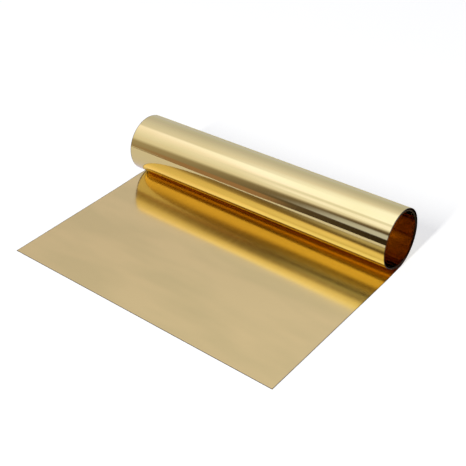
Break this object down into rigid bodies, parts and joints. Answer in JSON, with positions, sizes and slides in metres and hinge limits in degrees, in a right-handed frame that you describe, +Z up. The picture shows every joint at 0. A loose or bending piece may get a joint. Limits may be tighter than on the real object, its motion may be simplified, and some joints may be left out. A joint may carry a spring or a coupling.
{
  "type": "roll of brass sheet",
  "caption": "Thin brass sheet wound into an open roll, with its last stretch lying flat in front of the roll.",
  "frame": {"origin": "on the floor, below the middle of the piece's bounding box", "axes": "+X along the roll's axis, across the sheet's width; the flat end points to -Y and the roll lies at +Y; +Z up"},
  "size_m": [0.3, 0.216, 0.0578],
  "materials": {
    "brass": "cold-rolled, satin to bright"
  },
  "bodies": {
    "root": {"brass_sheet": "brass"}
  },
  "joints": []
}
